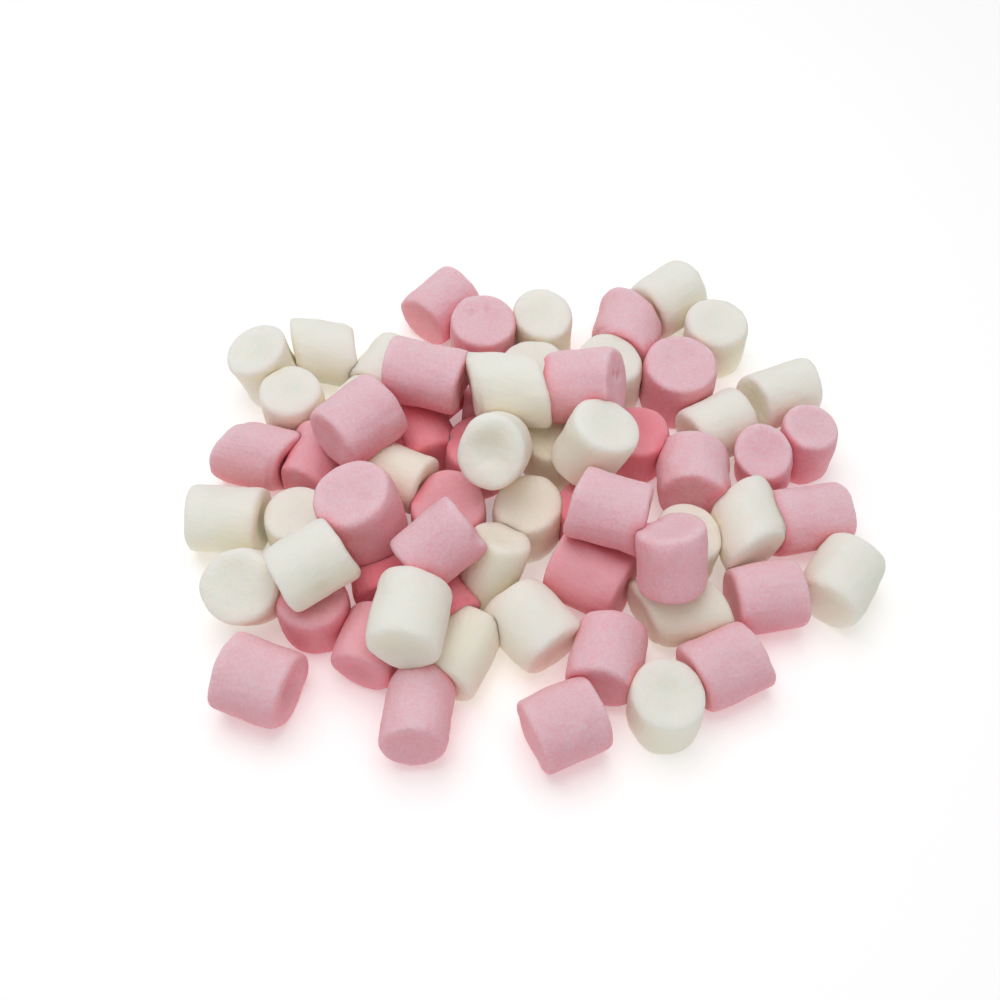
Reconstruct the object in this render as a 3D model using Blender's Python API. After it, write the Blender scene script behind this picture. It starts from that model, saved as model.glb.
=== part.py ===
"""A heap of pink and white mini marshmallows, with one more lying loose beside it.

Each marshmallow is a short rounded drum with dished ends and a slanted cut.
The heap is one closed solid: the drums pressed into each other, pillars that
fill the space under the upper ones, and a flat underside at the table.
Lengths in the tables are in millimetres and angles in degrees.
"""

import math

import bmesh
import bpy
from mathutils import Matrix, Vector

MM = 0.001

# The shape of one marshmallow.
SIDES = 12
RIM_ROUND = 1.9           # rounding of the rim
DISH_DEPTH = 0.35         # how far the middle of an end sinks in
SLANT = 0.09              # steepest slant of a cut end, as rise over run
SETTLE = 0.4              # how far the weight flattens one on the table
PRESS = 0.5               # drawn this much fuller, so that ones that touch are joined

# The filling under the marshmallows that lie on others.
PILLAR_SIDES = 9
PILLAR_RADIUS = 5.8
BELOW_TABLE = 1.5         # the pillars start this far down, before the cut at the table

MERGE_DISTANCE = 0.00001  # metres
TINY = 1e-6

HEAP_COLOUR = (0.80, 0.62, 0.62)
PINK = (0.80, 0.47, 0.54)

# The middle of the whole, in the coordinates of the tables below: it becomes the origin.
MIDDLE = (6.8, -2.0)

# Marshmallows on the table: x, y, turn, lean, girth, length.
# Turn is the compass direction of the axis and lean its tilt upwards.
PINK_ON_TABLE = [
    (-14, 51, -130, 0, 14, 14.5),
    (-4, 41, 0, 90, 15.5, 14),
    (30, 42, -105, 0, 15.5, 14.5),
    (41, 28, 0, 90, 17, 14.5),
    (-53, 7, -15, 0, 14.5, 15),
    (-41, 6, -110, 0, 13.5, 14.5),
    (-17, 11, -65, 0, 15, 14),
    (-4.5, 7, 0, 90, 15, 14),
    (30, 10, 0, 90, 14, 13.5),
    (58, 5, -135, 75, 13, 13.5),
    (68, 10, 0, 90, 12.5, 15),
    (65.5, -9, -170, 0, 14, 17),
    (-11, -9, 0, 90, 16.5, 14),
    (19, -8, 0, 90, 14, 13),
    (18.5, -23, -28, 0, 15, 17),
    (55, -28, -170, 0, 14.5, 15),
    (45, -43.5, 25, 0, 14.5, 15),
    (-38, -31.5, 0, 90, 14, 13.5),
    (-25, -22, -80, 0, 13, 13),
    (-12, -28, -60, 0, 13.5, 13),
    (-26, -39, -105, 5, 13.5, 13.5),
    (-16, -54, -95, 10, 14, 15.5),
    (21.5, -42, -105, 10, 14, 15.5),
    (12.5, -56, -155, 0, 15.5, 14.5),
]
WHITE_ON_TABLE = [
    (-54, 31.5, 175, 76, 14.5, 14),
    (-41, 36.5, -10, 0, 14.5, 15.5),
    (-47, 21, 0, 90, 14.5, 14),
    (-26, 31, 60, 0, 13.5, 14),
    (-33, 19, 50, 0, 13.5, 14),
    (10, 43, 0, 90, 14.5, 14),
    (7.5, 28.5, 0, 90, 15, 13),
    (25, 29, 0, 90, 15, 15),
    (40.5, 52.5, -140, 0, 15, 14.5),
    (50.5, 40.5, 0, 90, 14.5, 14),
    (64, 23.5, -155, 5, 14.5, 15.5),
    (49, 15, -150, 0, 14, 14.5),
    (12, 8, 0, 90, 14, 14),
    (6, -9, 0, 90, 14.5, 14),
    (-43, -11, 0, 90, 14, 13),
    (-58.5, -9.5, -3, 0, 15.5, 16),
    (-52, -26.5, -105, 62, 16, 13.5),
    (-2, -22.5, 55, 55, 13, 16.5),
    (6.5, -34.5, -50, 0, 14.5, 15.5),
    (-8, -40, -115, 0, 13.5, 15.5),
    (39.5, -15.5, 0, 90, 14.5, 13),
    (37, -31, 5, 0, 14, 16),
    (32.5, -52, 0, 90, 15, 13.5),
    (71, -24, -123, 0, 14.5, 14.5),
]
LOOSE_PINK = (-48, -47, -20, 0, 16, 15)

# Marshmallows buried under the upper ones, which they hold up.
BURIED = [
    (-27, 7, 0, 0, 13, 13),
    (-13, 26, 45, 0, 13, 13),
    (-2, 20, 0, 0, 13, 13),
    (16, 20, 90, 0, 13, 13),
    (-31, -6, 30, 0, 13, 13),
]

# Marshmallows on top of others: x, y, height of the middle, turn, lean, girth, length.
PINK_ABOVE = [
    (-30, 7, 20, -135, 0, 15.5, 15.5),
    (-16, 19, 20.5, -15, 0, 15.5, 17),
    (18, 16, 21, -10, 20, 15.5, 15.5),
    (42, 0, 9, -95, 10, 16, 14),
    (-28.5, -14, 17, 150, 77, 16.5, 15.5),
    (-12, -23, 20, 35, 20, 14, 15),
    (22.5, -15, 20, -20, 0, 15, 15.5),
    (34, -26, 20, 100, 55, 14.5, 14),
]
WHITE_ABOVE = [
    (1.5, 15, 21, -8, 5, 15.5, 16.5),
    (-1, -1.5, 22, -102, 50, 15, 13),
    (20, 1.5, 20, 10, 70, 15, 14.5),
    (-22, -1, 11, -25, 0, 13.5, 13.5),
    (52.5, -12, 9, -80, 5, 14.5, 15.5),
    (-37.5, -27.5, 20, 31, 10, 14, 15),
    (-17.5, -38.5, 19, -97, 5, 14.5, 15.5),
]


def clear_scene():
    """Remove whatever the scene starts with."""
    for item in list(bpy.data.objects):
        bpy.data.objects.remove(item, do_unlink=True)


def collection(name):
    """A new collection in the scene."""
    group = bpy.data.collections.new(name)
    bpy.context.scene.collection.children.link(group)
    return group


def soft_material(name, colour):
    """A matt, powdery material in one colour."""
    material = bpy.data.materials.new(name)
    material.use_nodes = True
    shader = material.node_tree.nodes["Principled BSDF"]
    shader.inputs["Base Color"].default_value = (*colour, 1.0)
    shader.inputs["Roughness"].default_value = 0.85
    return material


def rest_height(lean, girth, length):
    """Height of the middle of a marshmallow that has settled on the table."""
    tilt = math.radians(abs(lean))
    reach = length / 2 * math.sin(tilt) + girth / 2 * math.cos(tilt)
    corner = RIM_ROUND * (math.sin(tilt) + math.cos(tilt) - 1.0)
    return reach - corner - SETTLE


def from_middle(x, y, height):
    """A place in the tables as a place in the object, in metres."""
    return Vector((x - MIDDLE[0], y - MIDDLE[1], height)) * MM


def placing(x, y, height, turn, lean):
    """The matrix that lays an upright marshmallow where it belongs."""
    tip_over = Matrix.Rotation(math.radians(90.0 - lean), 4, "Y")
    turn_round = Matrix.Rotation(math.radians(turn), 4, "Z")
    return Matrix.Translation(from_middle(x, y, height)) @ turn_round @ tip_over


def slanted_cut(number):
    """A shear that slants both ends, by an amount that differs from one to the next."""
    shear = Matrix.Identity(4)
    shear[2][0] = SLANT * math.sin(2.4 * number)
    shear[2][1] = SLANT * math.cos(1.7 * number)
    return shear


def add_marshmallow(mesh, number, x, y, height, turn, lean, girth, length):
    """Add one rounded drum with dished ends to a mesh that is being built."""
    radius = (girth + PRESS) / 2 * MM
    drum = bmesh.ops.create_cone(
        mesh,
        cap_ends=True,
        segments=SIDES,
        radius1=radius,
        radius2=radius,
        depth=(length + PRESS) * MM,
    )
    corners = drum["verts"]
    rims = {edge for corner in corners for edge in corner.link_edges if is_level(edge)}
    bevel = bmesh.ops.bevel(
        mesh,
        geom=list(rims),
        offset=RIM_ROUND * MM,
        segments=1,
        profile=0.5,
        affect="EDGES",
    )
    faces = island_faces(bevel["verts"][0])
    ends = [face for face in faces if len(face.verts) == SIDES]
    middles = bmesh.ops.poke(mesh, faces=ends)["verts"]
    for middle in middles:
        middle.co.z -= math.copysign(DISH_DEPTH * MM, middle.co.z)
    points = {point for face in island_faces(middles[0]) for point in face.verts}
    matrix = placing(x, y, height, turn, lean) @ slanted_cut(number)
    bmesh.ops.transform(mesh, matrix=matrix, verts=list(points))


def is_level(edge):
    """True for an edge of a drum's rim, before the drum is laid in place."""
    low, high = edge.verts
    return abs(low.co.z - high.co.z) < TINY


def island_faces(start):
    """Every face that is joined to one point."""
    seen = set()
    waiting = list(start.link_faces)
    while waiting:
        face = waiting.pop()
        if face in seen:
            continue
        seen.add(face)
        for edge in face.edges:
            waiting.extend(edge.link_faces)
    return seen


def pillar_object(name, x, y, height, group):
    """A pillar that fills the space under a marshmallow that lies on others."""
    tall = height + BELOW_TABLE
    middle = from_middle(x, y, height - tall / 2)
    pillar = bmesh.new()
    bmesh.ops.create_cone(
        pillar,
        cap_ends=True,
        segments=PILLAR_SIDES,
        radius1=PILLAR_RADIUS * MM,
        radius2=PILLAR_RADIUS * MM,
        depth=tall * MM,
        matrix=Matrix.Translation(middle),
    )
    return object_from(pillar, name, group)


def object_from(mesh, name, group):
    """Turn a finished bmesh into a named object."""
    data = bpy.data.meshes.new(name)
    mesh.to_mesh(data)
    mesh.free()
    item = bpy.data.objects.new(name, data)
    group.objects.link(item)
    return item


def unite(item, others):
    """Join other closed objects to one, one after another."""
    for other in others:
        union = item.modifiers.new("one_solid", "BOOLEAN")
        union.operation = "UNION"
        union.solver = "EXACT"
        union.object = other
        apply_modifiers(item)


def apply_modifiers(item):
    """Replace an object's mesh by what its modifiers make of it."""
    graph = bpy.context.evaluated_depsgraph_get()
    solved = bpy.data.meshes.new_from_object(item.evaluated_get(graph))
    item.modifiers.clear()
    item.data = solved


def cut_at_table(item):
    """Cut away all that is under the table and close the flat underside."""
    mesh = bmesh.new()
    mesh.from_mesh(item.data)
    cut = bmesh.ops.bisect_plane(
        mesh,
        geom=list(mesh.verts) + list(mesh.edges) + list(mesh.faces),
        plane_co=(0, 0, 0),
        plane_no=(0, 0, 1),
        clear_inner=True,
    )
    rim = [part for part in cut["geom_cut"] if isinstance(part, bmesh.types.BMEdge)]
    bmesh.ops.holes_fill(mesh, edges=rim, sides=0)
    bmesh.ops.triangulate(mesh, faces=list(mesh.faces))
    bmesh.ops.remove_doubles(mesh, verts=list(mesh.verts), dist=MERGE_DISTANCE)
    mesh.to_mesh(item.data)
    mesh.free()


def fill_inner_hollows(item):
    """Keep the outer skin only, so that the closed hollows inside are filled."""
    mesh = bmesh.new()
    mesh.from_mesh(item.data)
    skins = []
    left = set(mesh.faces)
    while left:
        skin = island_faces(next(iter(left)).verts[0])
        skins.append(skin)
        left -= skin
    outer = max(skins, key=skin_area)
    inner = [face for face in mesh.faces if face not in outer]
    bmesh.ops.delete(mesh, geom=inner, context="FACES")
    mesh.to_mesh(item.data)
    mesh.free()


def skin_area(skin):
    """Area of a set of faces."""
    return sum(face.calc_area() for face in skin)


def marshmallow_object(name, number, spot, group):
    """One marshmallow as an object of its own."""
    drum = bmesh.new()
    add_marshmallow(drum, number, *spot)
    return object_from(drum, name, group)


def table_spot(spot):
    """A row of an on-the-table list with the height put in."""
    x, y, turn, lean, girth, length = spot
    return (x, y, rest_height(lean, girth, length), turn, lean, girth, length)


def build_heap(group, guides):
    """The whole heap as one closed solid."""
    above = PINK_ABOVE + WHITE_ABOVE
    on_table = PINK_ON_TABLE + WHITE_ON_TABLE + BURIED
    spots = [table_spot(spot) for spot in on_table] + above
    heap = marshmallow_object("heap", 0, spots[0], group)
    pieces = []
    for number, spot in enumerate(spots[1:], start=1):
        pieces.append(marshmallow_object(f"drum_{number}", number, spot, guides))
    for number, (x, y, height, *_) in enumerate(above):
        pieces.append(pillar_object(f"pillar_{number}", x, y, height, guides))
    unite(heap, pieces)
    cut_at_table(heap)
    fill_inner_hollows(heap)
    return heap


def build_loose(group):
    """The marshmallow that lies beside the heap."""
    loose = marshmallow_object("loose_marshmallow", 0, table_spot(LOOSE_PINK), group)
    cut_at_table(loose)
    return loose


def hide_guides(guides):
    """Show the filling's own shape as a wire only."""
    guides.hide_render = True
    for item in guides.objects:
        item.hide_render = True
        item.display_type = "WIRE"


def main():
    clear_scene()
    group = collection("mini_marshmallows")
    guides = collection("guides")
    heap = build_heap(group, guides)
    heap.data.materials.clear()
    heap.data.materials.append(soft_material("heap_powder", HEAP_COLOUR))
    loose = build_loose(group)
    loose.data.materials.append(soft_material("pink_powder", PINK))
    hide_guides(guides)


main()
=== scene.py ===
"""A loose heap of pink and white mini marshmallows on a pale table.

A few marshmallows are modelled in edit mode. Each one in the heap is a copy with
its own size, turn and lean, pressed flat where it meets the table and its
neighbours. Lengths in the tables are millimetres and angles are degrees.
"""

import math

import bmesh
import bpy
import numpy as np
from mathutils import Matrix, Vector


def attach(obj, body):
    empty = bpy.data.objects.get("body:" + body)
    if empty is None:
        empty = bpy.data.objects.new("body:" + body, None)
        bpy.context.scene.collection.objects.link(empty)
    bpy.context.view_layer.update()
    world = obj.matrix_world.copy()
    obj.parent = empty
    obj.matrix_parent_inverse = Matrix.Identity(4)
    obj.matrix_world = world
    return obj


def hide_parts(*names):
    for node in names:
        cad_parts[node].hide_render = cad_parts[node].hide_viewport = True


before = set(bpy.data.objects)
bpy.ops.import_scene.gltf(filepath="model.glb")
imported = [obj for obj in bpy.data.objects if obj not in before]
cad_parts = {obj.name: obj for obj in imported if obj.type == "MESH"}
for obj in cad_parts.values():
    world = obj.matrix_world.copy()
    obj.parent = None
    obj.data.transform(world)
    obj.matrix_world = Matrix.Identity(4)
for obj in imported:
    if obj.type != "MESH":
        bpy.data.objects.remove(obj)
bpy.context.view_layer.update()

MM = 0.001                # metres

# The middle of the whole, in the coordinates of the tables below: it becomes the origin.
MIDDLE = (6.8, -2.0)

# Marshmallows on the table: x, y, turn, lean, girth, length, and for some a shape and a roll.
# Turn is the compass direction of the axis and lean its tilt upwards.
PINK_ON_TABLE = [
    (-14, 51, -130, 0, 14, 14.5),
    (-4, 41, 0, 90, 15.5, 14),
    (30, 42, -105, 0, 15.5, 14.5, "skewed", 180),
    (41, 28, 0, 90, 17, 14.5, "straight", 0),
    (-53, 7, -15, 0, 14.5, 15, "skewed", 180),
    (-41, 6, -110, 0, 13.5, 14.5),
    (-17, 11, -65, 0, 15, 14),
    (-4.5, 7, 0, 90, 15, 14),
    (30, 10, 0, 90, 14, 13.5),
    (58, 5, -135, 75, 13, 13.5),
    (68, 10, 0, 90, 12.5, 15),
    (65.5, -9, -170, 0, 14, 17),
    (-11, -9, 0, 90, 16.5, 14, "dished", 0),
    (19, -8, 0, 90, 14, 13),
    (18.5, -23, -28, 0, 15, 17),
    (55, -28, -170, 0, 14.5, 15),
    (45, -43.5, 25, 0, 14.5, 15),
    (-38, -31.5, 0, 90, 14, 13.5),
    (-25, -22, -80, 0, 13, 13),
    (-12, -28, -60, 0, 13.5, 13),
    (-26, -39, -105, 5, 13.5, 13.5),
    (-16, -54, -95, 10, 14, 15.5),
    (21.5, -42, -105, 10, 14, 15.5),
    (12.5, -56, -155, 0, 15.5, 14.5),
]
WHITE_ON_TABLE = [
    (-54, 31.5, 175, 76, 14.5, 14),
    (-41, 36.5, -10, 0, 14.5, 15.5, "skewed", 0),
    (-47, 21, 0, 90, 14.5, 14, "straight", 40),
    (-26, 31, 60, 0, 13.5, 14),
    (-33, 19, 50, 0, 13.5, 14),
    (10, 43, 0, 90, 14.5, 14),
    (7.5, 28.5, 0, 90, 15, 13),
    (25, 29, 0, 90, 15, 15),
    (40.5, 52.5, -140, 0, 15, 14.5),
    (50.5, 40.5, 0, 90, 14.5, 14),
    (64, 23.5, -155, 5, 14.5, 15.5),
    (49, 15, -150, 0, 14, 14.5),
    (12, 8, 0, 90, 14, 14),
    (6, -9, 0, 90, 14.5, 14),
    (-43, -11, 0, 90, 14, 13, "slanted", 120),
    (-58.5, -9.5, -3, 0, 15.5, 16),
    (-52, -26.5, -105, 62, 16, 13.5),
    (-2, -22.5, 55, 55, 13, 16.5, "straight", 0),
    (6.5, -34.5, -50, 0, 14.5, 15.5),
    (-8, -40, -115, 0, 13.5, 15.5),
    (39.5, -15.5, 0, 90, 14.5, 13),
    (37, -31, 5, 0, 14, 16, "skewed", 0),
    (32.5, -52, 0, 90, 15, 13.5),
    (71, -24, -123, 0, 14.5, 14.5),
]
LOOSE_PINK = (-48, -47, -20, 0, 16, 15)

# Marshmallows buried under the upper ones, which they hold up.
BURIED = [
    (-27, 7, 0, 0, 13, 13),
    (-13, 26, 45, 0, 13, 13),
    (-2, 20, 0, 0, 13, 13),
    (16, 20, 90, 0, 13, 13),
    (-31, -6, 30, 0, 13, 13),
]

# Marshmallows on top of others: x, y, height of the middle, turn, lean, girth, length.
PINK_ABOVE = [
    (-30, 7, 20, -135, 0, 15.5, 15.5),
    (-16, 19, 20.5, -15, 0, 15.5, 17),
    (18, 16, 21, -10, 20, 15.5, 15.5),
    (42, 0, 9, -95, 10, 16, 14),
    (-28.5, -14, 17, 150, 77, 16.5, 15.5),
    (-12, -23, 20, 35, 20, 14, 15),
    (22.5, -15, 20, -20, 0, 15, 15.5),
    (34, -26, 20, 100, 55, 14.5, 14),
]
WHITE_ABOVE = [
    (1.5, 15, 21, -8, 5, 15.5, 16.5, "skewed", 0),
    (-1, -1.5, 22, -102, 50, 15, 13, "dished", 90),
    (20, 1.5, 20, 10, 70, 15, 14.5),
    (-22, -1, 11, -25, 0, 13.5, 13.5),
    (52.5, -12, 9, -80, 5, 14.5, 15.5, "skewed", 0),
    (-37.5, -27.5, 20, 31, 10, 14, 15, "straight", 0),
    (-17.5, -38.5, 19, -97, 5, 14.5, 15.5, "straight", 60),
]

# The marshmallow that is modelled: a coarse cage that is smoothed afterwards.
GIRTH = 14.0
LENGTH = 14.5
CAGE_SIDES = 14
CAGE_SWELL = 1.034        # smoothing draws a cage of 14 sides in by this much
RIM = 1.25                # width of the bevel on the rim
RIM_SEGMENTS = 2
SIDE_CUTS = 3
SMOOTH_LEVELS = 2
FLAT_OF_END = 0.62        # the dish begins at this part of the radius
MIDDLE_OF_END = 0.28      # its deepest part is this part of the radius
FIRST_SINK = 0.35         # share of the dish's depth at its outer ring
SECOND_SINK = 0.65
FACES_ALONG = 0.9         # a normal's share along the axis, on an end

# name: dish of the two ends, tilt of the two ends, swell of the middle.
SHAPES = {
    "straight": (0.45, 0.35, 3, -2, 1.01),
    "dished": (1.3, 0.5, -2, 3, 1.00),
    "slanted": (0.5, 0.4, 8, 5, 0.99),
    "barrel": (0.3, 0.6, -3, -4, 1.04),
    "waisted": (0.7, 0.8, 4, -6, 0.96),
    "skewed": (0.35, 0.35, 20, 20, 1.00),
}
CHANCE_SHAPES = ("straight", "slanted", "barrel", "dished", "waisted")

# How one differs from the next.
APART = 50.0              # between one's patterns and the next one's
ROLL_STEP = 137.5         # degrees about its own axis
OVAL = 0.045              # how far the section is from round, at most
OVAL_STEP = 1.9           # radians from one's ovalness to the next one's

# How they lie.
RIM_ROUND = 1.9           # radius of the rim, as far as resting and touching go
SETTLE = 0.4              # how far the foam sinks under its own weight
PRESSED_SHARE = 0.5       # each of two that meet gives way by half
TABLE_SKIN = 0.03         # gap left above the table

# Dents and small pits, in the tables' coordinates: x, y, height, width, depth.
DENTS = [
    (24.5, 15, 25.5, 1.6, 1.2),
    (25.5, 16.5, 23.5, 1.5, 0.9),
    (-8, 17.5, 16, 4, 1.0),
    (-7.5, 16, 22, 3, 0.6),
    (-4.5, -24, 24.5, 3, 1.0),
    (-41.5, -48.5, 6.5, 4, 1.0),
    (-28, -45, 8, 5, 0.9),
    (30, -17.5, 21, 5, 1.2),
    (-34.5, -33.5, 21, 3, 0.5),
    (50.5, -7, 15, 2.5, 0.8),
    (-27, -15, 25, 2.5, 0.4),
    (-7, 43, 13.5, 1.5, 0.5),
    (-3, 44, 13.5, 1.4, 0.4),
    (38.5, 28, 13.5, 3, 0.4),
    (43, 30, 13.5, 3, 0.4),
    (32.5, -51, 12.5, 3, 0.4),
    (-3, -5, 27, 4.5, 0.7),
    (48, -45, 13, 3, 0.4),
]

# The skin: wide unevenness and fine grain, as wavelength and depth.
LUMPS = (7.0, 0.8)
PUCKERS = (2.2, 0.16)

# Painted shade: less pale powder colour, so more of the deep bare colour, under each
# marshmallow that lies on top, and around each touch.
LIES_ABOVE = 5.0          # how much higher the other one's middle is
RUBBED_OFF_AND_SHADED = 0.4
RUBBED_AND_SHADED_AT_TOUCH = 0.7
TOUCH_REACH = 2.5

# The powder: wavelengths of its drifts, specks and grain, how much drifts and specks
# add or take away, and how far a surface faces up where its pale colour starts and where
# it is full; the pale colour on surfaces facing up is painted top light.
DRIFTS = 4.0
DRIFT_SHARE = 0.1
SPECKS = 0.6
SPECK_SHARE = 0.3
GRAIN = 0.45
GRAIN_HEIGHT = 0.2
GRAIN_STRENGTH = 0.6
DUSTED_AND_LIT_FROM_TO = (-0.7, 1.15)
NOISE_FROM_TO = (0.3, 0.7)     # the part of a noise's range that is in use
CUT_END_SHARE = 0.4            # how far the colour of a cut end shows
ROUGH_FROM_TO = (0.7, 0.92)

# Fine wrinkles along each marshmallow: wavelength, how much longer they are, and relief.
WRINKLES = 1.5
WRINKLE_STRETCH = 3.5
WRINKLE_HEIGHT = 0.5
WRINKLE_STRENGTH = 0.7

# Colours of the foam, of the powder on it and of a cut end, and how light spreads in
# the foam: the shares of red, green and blue, and the depth. The bare foam colour, deep
# pink or warm cream, is painted shade on sides, under others and at touches; the powder
# colour is paler, painted light where surfaces face up.
PINK = {
    "bare_and_shade": (0.88, 0.27, 0.32),
    "dusted_and_lit": (0.88, 0.62, 0.68),
    "cut": (0.88, 0.31, 0.37),
    "glow_radius": (0.6, 1.0, 1.0),
    "glow": 2.5,
}
WHITE = {
    "bare_and_shade": (1.0, 0.90, 0.70),
    "dusted_and_lit": (0.94, 0.91, 0.84),
    "cut": (1.0, 0.9, 0.72),
    "glow_radius": (0.7, 0.9, 1.0),
    "glow": 4.0,
}

# The studio, in metres and watts: place, size and power of each light.
FLOOR_SIZE = 6.0
FLOOR_COLOUR = (0.94, 0.94, 0.94, 1)
FLOOR_GLOW = 0.25
SURROUNDINGS = 0.36
TOP_LIGHT = ((-0.07, 0.13, 0.58), 0.5, 1.75)
FRONT_LIGHT = ((0.03, -0.22, 0.52), 0.5, 0.35)

# The view, from the middle of the tables' coordinates.
CAMERA_DISTANCE = 275.0
CAMERA_HEIGHT_ANGLE = 58.0
CAMERA_LENS = 44.3


def deselect_all():
    """Leave nothing selected, as the operators act on the selection."""
    for item in bpy.context.selected_objects:
        item.select_set(False)


def make_active(item):
    """Select one object and nothing else."""
    deselect_all()
    item.select_set(True)
    bpy.context.view_layer.objects.active = item


def pick(item, kind, wanted):
    """In edit mode, select the points, edges or faces for which wanted() is true."""
    bpy.ops.mesh.select_mode(type=kind)
    bpy.ops.mesh.select_all(action="DESELECT")
    mesh = bmesh.from_edit_mesh(item.data)
    parts = {"VERT": mesh.verts, "EDGE": mesh.edges, "FACE": mesh.faces}[kind]
    for part in parts:
        if wanted(part):
            part.select_set(True)
    bmesh.update_edit_mesh(item.data)


def upright_edge(edge):
    """True for an edge that runs along the marshmallow."""
    low, high = edge.verts
    return abs(low.co.z - high.co.z) > MM


def rim_edge(edge):
    """True for an edge where an end meets the side."""
    ends = [abs(face.normal.z) > FACES_ALONG for face in edge.link_faces]
    return any(ends) and not all(ends)


def sink_end(item, side, dish):
    """Inset one end twice and push its middle in."""
    radius = GIRTH / 2 - RIM

    def is_end(face):
        return face.normal.z * side > FACES_ALONG and len(face.verts) == CAGE_SIDES

    pick(item, "FACE", is_end)
    bpy.ops.mesh.inset(thickness=radius * (1.0 - FLAT_OF_END) * MM)
    bpy.ops.transform.translate(value=(0, 0, -side * dish * FIRST_SINK * MM))
    bpy.ops.mesh.inset(thickness=radius * (FLAT_OF_END - MIDDLE_OF_END) * MM)
    bpy.ops.transform.translate(value=(0, 0, -side * dish * SECOND_SINK * MM))


def tilt_end(item, side, degrees):
    """Slant the cut of one end."""
    pick(item, "VERT", lambda point: point.co.z * side > LENGTH / 4 * MM)
    bpy.ops.transform.rotate(
        value=math.radians(degrees),
        orient_axis="X",
        center_override=(0, 0, side * LENGTH / 2 * MM),
    )


def model_marshmallow(name, top_dish, base_dish, top_tilt, base_tilt, swell):
    """Shape one marshmallow from a cylinder in edit mode and smooth it."""
    deselect_all()
    bpy.ops.mesh.primitive_cylinder_add(
        vertices=CAGE_SIDES,
        radius=GIRTH / 2 * CAGE_SWELL * MM,
        depth=LENGTH * MM,
        end_fill_type="NGON",
    )
    item = bpy.context.object
    item.name = name
    bpy.ops.object.mode_set(mode="EDIT")
    pick(item, "EDGE", upright_edge)
    bpy.ops.mesh.subdivide(number_cuts=SIDE_CUTS)
    pick(item, "VERT", lambda point: abs(point.co.z) < LENGTH / 4 * MM)
    bpy.ops.transform.resize(value=(swell, swell, 1))
    pick(item, "EDGE", rim_edge)
    bpy.ops.mesh.bevel(offset=RIM * MM, segments=RIM_SEGMENTS, profile=0.5)
    sink_end(item, 1, top_dish)
    sink_end(item, -1, base_dish)
    tilt_end(item, 1, top_tilt)
    tilt_end(item, -1, base_tilt)
    bpy.ops.object.mode_set(mode="OBJECT")
    mark_ends(item)
    smooth = item.modifiers.new("smooth", "SUBSURF")
    smooth.levels = SMOOTH_LEVELS
    smooth.render_levels = SMOOTH_LEVELS
    bpy.ops.object.modifier_apply(modifier=smooth.name)
    bpy.ops.object.shade_smooth()
    return item


def mark_ends(item):
    """Store how far each point belongs to a cut end: 1 on an end, 0 on the side."""
    mark = item.data.attributes.new("cut_end", "FLOAT", "POINT")
    edge = (GIRTH / 2 - RIM * 0.6) * MM
    for point in item.data.vertices:
        out = math.hypot(point.co.x, point.co.y)
        high = abs(point.co.z) > (LENGTH / 2 - RIM) * MM
        mark.data[point.index].value = 1.0 if high and out < edge else 0.0


def rest_height(lean, girth, length):
    """Height of the middle of a marshmallow that has settled on the table."""
    tilt = math.radians(abs(lean))
    reach = length / 2 * math.sin(tilt) + girth / 2 * math.cos(tilt)
    corner = RIM_ROUND * (math.sin(tilt) + math.cos(tilt) - 1.0)
    return reach - corner - SETTLE


def table_spot(spot):
    """A row of an on-the-table list with the height put in."""
    x, y, turn, lean, girth, length, *own = spot
    return (x, y, rest_height(lean, girth, length), turn, lean, girth, length, *own)


def from_middle(x, y, height):
    """A place in the tables as a place in the object, in metres."""
    return Vector((x - MIDDLE[0], y - MIDDLE[1], height)) * MM


def placing(x, y, height, turn, lean):
    """The matrix that lays an upright marshmallow where it belongs."""
    tip_over = Matrix.Rotation(math.radians(90.0 - lean), 4, "Y")
    turn_round = Matrix.Rotation(math.radians(turn), 4, "Z")
    return Matrix.Translation(from_middle(x, y, height)) @ turn_round @ tip_over


def own_shape(number, roll, flipped, girth, length):
    """Roll, ovalness and size that make one marshmallow differ from the next."""
    roll = Matrix.Rotation(math.radians(roll), 4, "Z")
    flip = Matrix.Rotation(math.pi * flipped, 4, "X")
    oval = OVAL * math.sin(OVAL_STEP * number)
    wide = girth / GIRTH
    scale = Matrix.Diagonal((wide * (1 + oval), wide * (1 - oval), length / LENGTH, 1))
    return roll @ scale @ flip


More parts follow.
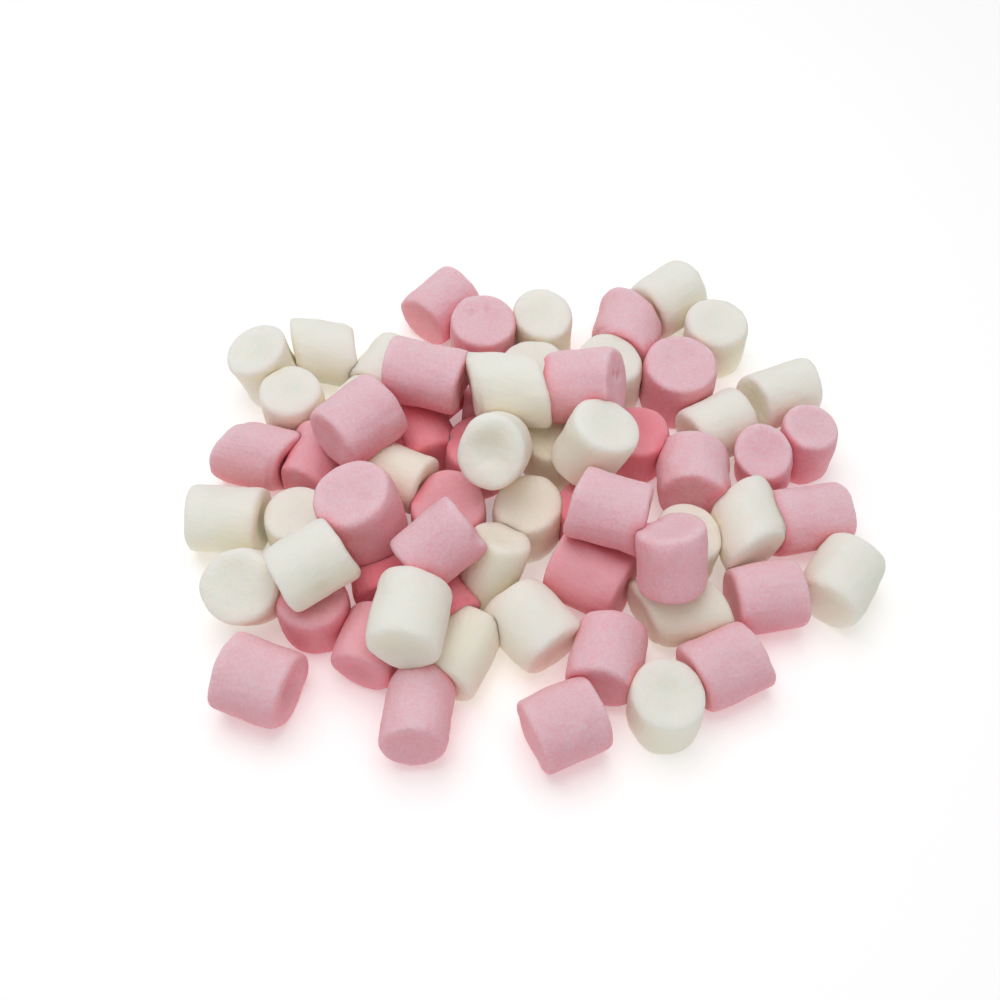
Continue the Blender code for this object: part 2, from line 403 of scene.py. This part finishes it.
class Lying:
    """One marshmallow in its place, as a mesh and as a plain rounded drum."""

    def __init__(self, number, colour, spot, shapes):
        x, y, height, turn, lean, girth, length, *own = spot
        if own:
            shape, roll, flipped = *own, 0
        else:
            shape = CHANCE_SHAPES[number % len(CHANCE_SHAPES)]
            roll, flipped = ROLL_STEP * number, number % 2
        base = shapes[shape]
        self.colour = colour
        self.girth = girth * MM
        self.length = length * MM
        self.place = placing(x, y, height, turn, lean)
        self.item = base.copy()
        self.item.data = base.data.copy()
        bpy.context.scene.collection.objects.link(self.item)
        store_own_place(self.item.data, number)
        self.item.data.transform(self.place @ own_shape(number, roll, flipped, girth, length))
        self.points = read_points(self.item.data)
        self.centre = np.array(self.place.translation)
        self.axes = np.array(self.place.to_3x3())

    def depth_and_way_out(self, points):
        """How deep each point is inside the drum, and the way out of it."""
        local = (points - self.centre) @ self.axes
        round_by = RIM_ROUND * MM
        radial = np.hypot(local[:, 0], local[:, 1])
        beside = radial - (self.girth / 2 - round_by)
        beyond = np.abs(local[:, 2]) - (self.length / 2 - round_by)
        outside = np.hypot(np.maximum(beside, 0), np.maximum(beyond, 0))
        depth = round_by - outside - np.minimum(np.maximum(beside, beyond), 0)
        share_side = np.where(beside > beyond, 1.0, 0.0)
        both = (beside > 0) & (beyond > 0)
        share_side = np.where(both, beside / np.maximum(outside, 1e-9), share_side)
        share_end = np.sqrt(np.maximum(1 - share_side**2, 0))
        spread = np.maximum(radial, 1e-9)
        way = np.zeros_like(local)
        way[:, 0] = local[:, 0] / spread * share_side
        way[:, 1] = local[:, 1] / spread * share_side
        way[:, 2] = np.sign(local[:, 2]) * share_end
        return depth, way @ self.axes.T


def read_points(data):
    """A mesh's points as an array."""
    points = np.empty(len(data.vertices) * 3)
    data.vertices.foreach_get("co", points)
    return points.reshape(-1, 3)


def store_own_place(data, number):
    """Store where each point is on its own marshmallow, for patterns that follow it."""
    places = read_points(data) + np.array((0.0, 0.0, number * APART * MM))
    mark = data.attributes.new("own_place", "FLOAT_VECTOR", "POINT")
    mark.data.foreach_set("vector", places.ravel())


def dent(lying):
    """Push in the small dents and pits."""
    for one in lying:
        points = read_points(one.item.data)
        for x, y, height, width, depth in DENTS:
            place = np.array(from_middle(x, y, height))
            inward = one.centre - place
            far = np.linalg.norm(points - place, axis=1) / (width * MM)
            push = depth * MM * np.clip(1.0 - far**2, 0.0, 1.0) ** 2
            points += push[:, None] * inward / np.linalg.norm(inward)
        one.item.data.vertices.foreach_set("co", points.ravel())
        one.item.data.update()


def press_together(lying):
    """Flatten each marshmallow where it meets the others and the table."""
    pressed = []
    for one in lying:
        moved = one.points.copy()
        for other in lying:
            reach = (math.hypot(one.girth, one.length) + math.hypot(other.girth, other.length)) / 2
            if other is one or np.linalg.norm(one.centre - other.centre) > reach:
                continue
            depth, way = other.depth_and_way_out(one.points)
            inside = depth > 0
            moved[inside] += way[inside] * depth[inside, None] * PRESSED_SHARE
        moved[:, 2] = np.maximum(moved[:, 2], TABLE_SKIN * MM)
        pressed.append(moved)
    for one, moved in zip(lying, pressed):
        one.item.data.vertices.foreach_set("co", moved.ravel())
        one.item.data.update()


def spread_powder_and_shade(lying):
    """Store how much pale powder colour each one shows: less where others lie on it or touch it,
    as painted shade.
    """
    for one in lying:
        points = read_points(one.item.data)
        lit_powder_left = np.ones(len(points))
        touched = np.zeros(len(points))
        for other in lying:
            apart = other.centre - one.centre
            if other is one or np.linalg.norm(apart) > 2 * GIRTH * MM:
                continue
            depth, _ = other.depth_and_way_out(points)
            touched = np.maximum(touched, np.clip(1 + depth / (TOUCH_REACH * MM), 0, 1))
            if apart[2] > LIES_ABOVE * MM and math.hypot(apart[0], apart[1]) < GIRTH * MM:
                # Painted shade under a marshmallow that lies above.
                lit_powder_left -= RUBBED_OFF_AND_SHADED
        # Painted shade around each touch.
        lit_powder_left = np.clip(lit_powder_left - RUBBED_AND_SHADED_AT_TOUCH * touched**2, 0, 1)
        mark = one.item.data.attributes.new("lit_powder_share", "FLOAT", "POINT")
        mark.data.foreach_set("value", lit_powder_left.ravel())


def lay_out(shapes):
    """Every marshmallow in its place, by colour."""
    rows = [("pink", table_spot(spot)) for spot in PINK_ON_TABLE]
    rows += [("white", table_spot(spot)) for spot in WHITE_ON_TABLE]
    rows += [("core", table_spot(spot)) for spot in BURIED]
    rows += [("pink", spot) for spot in PINK_ABOVE]
    rows += [("white", spot) for spot in WHITE_ABOVE]
    rows += [("loose", table_spot(LOOSE_PINK))]
    return [Lying(number, colour, spot, shapes) for number, (colour, spot) in enumerate(rows)]


def join_colour(lying, colour, name):
    """Join all of one colour into one piece."""
    items = [one.item for one in lying if one.colour == colour]
    make_active(items[0])
    for item in items:
        item.select_set(True)
    if len(items) > 1:
        bpy.ops.object.join()
    piece = bpy.context.object
    piece.name = name
    piece.data.name = name
    return piece


def uneven_skin(piece):
    """Give the skin its wide lumps and fine puckers."""
    make_active(piece)
    for number, (wavelength, depth) in enumerate((LUMPS, PUCKERS)):
        texture = bpy.data.textures.new(f"{piece.name}_skin_{number}", "CLOUDS")
        texture.noise_scale = wavelength * MM
        texture.noise_depth = 1
        push = piece.modifiers.new("skin", "DISPLACE")
        push.texture = texture
        push.texture_coords = "LOCAL"
        push.strength = depth * MM
        push.mid_level = 0.5
        bpy.ops.object.modifier_apply(modifier=push.name)
    points = read_points(piece.data)
    points[:, 2] = np.maximum(points[:, 2], TABLE_SKIN * MM)
    piece.data.vertices.foreach_set("co", points.ravel())
    piece.data.update()


def soft_mix(nodes, links, factor, low, high):
    """A node that goes from one colour to another as factor goes from 0 to 1."""
    mix = nodes.new("ShaderNodeMix")
    mix.data_type = "RGBA"
    links.new(factor, mix.inputs["Factor"])
    for socket, colour in (("A", low), ("B", high)):
        if isinstance(colour, tuple):
            mix.inputs[socket].default_value = (*colour, 1)
        else:
            links.new(colour, mix.inputs[socket])
    return mix.outputs["Result"]


def ranged(nodes, links, value, low, high, to_low=0.0, to_high=1.0):
    """A node that stretches low..high of a value over to_low..to_high."""
    stretch = nodes.new("ShaderNodeMapRange")
    stretch.inputs["From Min"].default_value = low
    stretch.inputs["From Max"].default_value = high
    stretch.inputs["To Min"].default_value = to_low
    stretch.inputs["To Max"].default_value = to_high
    links.new(value, stretch.inputs["Value"])
    return stretch.outputs["Result"]


def noise(nodes, links, place, wavelength, detail):
    """A noise of a given wavelength in millimetres."""
    pattern = nodes.new("ShaderNodeTexNoise")
    pattern.inputs["Scale"].default_value = 1.0 / (wavelength * MM)
    pattern.inputs["Detail"].default_value = detail
    links.new(place, pattern.inputs["Vector"])
    return pattern.outputs["Fac"]


def joined(nodes, links, operation, first, second):
    """The sum or product of two values."""
    node = nodes.new("ShaderNodeMath")
    node.operation = operation
    links.new(first, node.inputs[0])
    links.new(second, node.inputs[1])
    return node.outputs[0]


def stored(nodes, name, output):
    """A value that each point of the mesh carries."""
    node = nodes.new("ShaderNodeAttribute")
    node.attribute_name = name
    return node.outputs[output]


def raised(nodes, links, height, distance, strength, below=None):
    """Relief of a given depth in millimetres, on top of other relief."""
    bump = nodes.new("ShaderNodeBump")
    bump.inputs["Strength"].default_value = strength
    bump.inputs["Distance"].default_value = distance * MM
    links.new(height, bump.inputs["Height"])
    if below:
        links.new(below, bump.inputs["Normal"])
    return bump.outputs["Normal"]


def powder_and_painted_light(nodes, links, place):
    """How much pale powder colour shows: most facing up, as painted top light, less under others
    and at touches, as painted shade.
    """
    facing = nodes.new("ShaderNodeSeparateXYZ")
    links.new(nodes.new("ShaderNodeNewGeometry").outputs["Normal"], facing.inputs[0])
    amount = facing.outputs["Z"]
    for wavelength, detail, share in ((DRIFTS, 3.0, DRIFT_SHARE), (SPECKS, 4.0, SPECK_SHARE)):
        pattern = noise(nodes, links, place, wavelength, detail)
        change = ranged(nodes, links, pattern, *NOISE_FROM_TO, -share, share)
        amount = joined(nodes, links, "ADD", amount, change)
    # Surfaces facing up take the pale colour: painted top light.
    facing_up_light = ranged(nodes, links, amount, *DUSTED_AND_LIT_FROM_TO)
    # Less of it under others and at touches: painted shade.
    return joined(nodes, links, "MULTIPLY", facing_up_light, stored(nodes, "lit_powder_share", "Fac"))


def wrinkles(nodes, links):
    """Noise that is drawn out along each marshmallow."""
    drawn_out = nodes.new("ShaderNodeMapping")
    drawn_out.inputs["Scale"].default_value = (1.0, 1.0, 1.0 / WRINKLE_STRETCH)
    links.new(stored(nodes, "own_place", "Vector"), drawn_out.inputs["Vector"])
    return noise(nodes, links, drawn_out.outputs["Vector"], WRINKLES, 3.0)


def powder_and_light_material(name, bare_and_shade, dusted_and_lit, cut, glow_radius, glow):
    """Matt foam with starch on it: pale where the surface faces up, as painted light, deep bare
    colour elsewhere, as painted shade.
    """
    material = bpy.data.materials.new(name)
    material.use_nodes = True
    nodes, links = material.node_tree.nodes, material.node_tree.links
    shader = nodes["Principled BSDF"]
    shader.inputs["Specular IOR Level"].default_value = 0.12
    shader.inputs["Subsurface Weight"].default_value = 0.9
    shader.inputs["Subsurface Radius"].default_value = glow_radius
    shader.inputs["Subsurface Scale"].default_value = glow * MM
    shader.inputs["Sheen Weight"].default_value = 0.02
    shader.inputs["Sheen Roughness"].default_value = 0.6

    place = nodes.new("ShaderNodeTexCoord").outputs["Object"]
    on_end = ranged(nodes, links, stored(nodes, "cut_end", "Fac"), 0.0, 1.0, 0.0, CUT_END_SHARE)
    foam_and_shade = soft_mix(nodes, links, on_end, bare_and_shade, cut)
    powder_and_light = powder_and_painted_light(nodes, links, place)
    # Base colour: pale powder on top as painted light, deep bare foam colour as painted shade.
    links.new(soft_mix(nodes, links, powder_and_light, foam_and_shade, dusted_and_lit), shader.inputs["Base Color"])

    grain = noise(nodes, links, place, GRAIN, 3.0)
    rough = ranged(nodes, links, grain, 0.0, 1.0, *ROUGH_FROM_TO)
    links.new(rough, shader.inputs["Roughness"])
    wrinkled = raised(nodes, links, wrinkles(nodes, links), WRINKLE_HEIGHT, WRINKLE_STRENGTH)
    grainy = raised(nodes, links, grain, GRAIN_HEIGHT, GRAIN_STRENGTH, wrinkled)
    links.new(grainy, shader.inputs["Normal"])
    return material


def dress(piece, material, slot, *nodes):
    """Give a piece its material and its body, and hide the solids that it stands for."""
    piece.data.materials.clear()
    piece.data.materials.append(material)
    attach(piece, "root")
    if nodes:
        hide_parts(*nodes)


def plain_floor():
    """A wide pale table top."""
    deselect_all()
    bpy.ops.mesh.primitive_plane_add(size=FLOOR_SIZE)
    floor = bpy.context.object
    floor.name = "table_top"
    material = bpy.data.materials.new("pale_table")
    material.use_nodes = True
    shader = material.node_tree.nodes["Principled BSDF"]
    shader.inputs["Base Color"].default_value = FLOOR_COLOUR
    shader.inputs["Roughness"].default_value = 0.6
    shader.inputs["Emission Color"].default_value = (1, 1, 1, 1)
    shader.inputs["Emission Strength"].default_value = FLOOR_GLOW
    floor.data.materials.append(material)


def soft_light(name, place, size, power):
    """A square soft light that points at the heap."""
    light = bpy.data.lights.new(name, "AREA")
    light.shape = "SQUARE"
    light.size = size
    light.energy = power
    lamp = bpy.data.objects.new(name, light)
    lamp.location = place
    lamp.rotation_euler = (-Vector(place)).to_track_quat("-Z", "Y").to_euler()
    bpy.context.scene.collection.objects.link(lamp)


def studio():
    """Even pale surroundings, a wide light overhead and a weaker one in front."""
    world = bpy.data.worlds.new("studio")
    world.use_nodes = True
    background = world.node_tree.nodes["Background"]
    background.inputs["Color"].default_value = (1, 1, 1, 1)
    background.inputs["Strength"].default_value = SURROUNDINGS
    bpy.context.scene.world = world
    soft_light("top_light", *TOP_LIGHT)
    soft_light("front_light", *FRONT_LIGHT)
    bpy.context.scene.view_settings.view_transform = "Standard"


def camera():
    """A camera that looks down on the heap from the front."""
    rise = math.radians(CAMERA_HEIGHT_ANGLE)
    target = Vector((-MIDDLE[0], -MIDDLE[1], 0)) * MM
    back = Vector((0, -math.cos(rise), math.sin(rise)))
    data = bpy.data.cameras.new("camera")
    data.lens = CAMERA_LENS
    data.clip_start = 0.01
    item = bpy.data.objects.new("camera", data)
    item.location = target + back * CAMERA_DISTANCE * MM
    item.rotation_euler = (math.radians(90 - CAMERA_HEIGHT_ANGLE), 0, 0)
    bpy.context.scene.collection.objects.link(item)
    bpy.context.scene.camera = item


shapes = {name: model_marshmallow(name, *values) for name, values in SHAPES.items()}
lying = lay_out(shapes)
press_together(lying)
dent(lying)
spread_powder_and_shade(lying)
for shape in shapes.values():
    bpy.data.objects.remove(shape, do_unlink=True)

pieces = {
    colour: join_colour(lying, colour, name)
    for colour, name in (
        ("pink", "pink_marshmallows"),
        ("white", "white_marshmallows"),
        ("core", "buried_marshmallows"),
        ("loose", "lone_marshmallow"),
    )
}
for piece in pieces.values():
    uneven_skin(piece)

pink = powder_and_light_material("pink_powder", **PINK)
white = powder_and_light_material("white_powder_and_light", **WHITE)
dress(pieces["pink"], pink, "heap_powder", "heap")
dress(pieces["white"], white, "heap_powder", "heap")
dress(pieces["core"], pink, "heap_powder")
dress(pieces["loose"], pink, "pink_powder", "loose_marshmallow")
plain_floor()
studio()
camera()
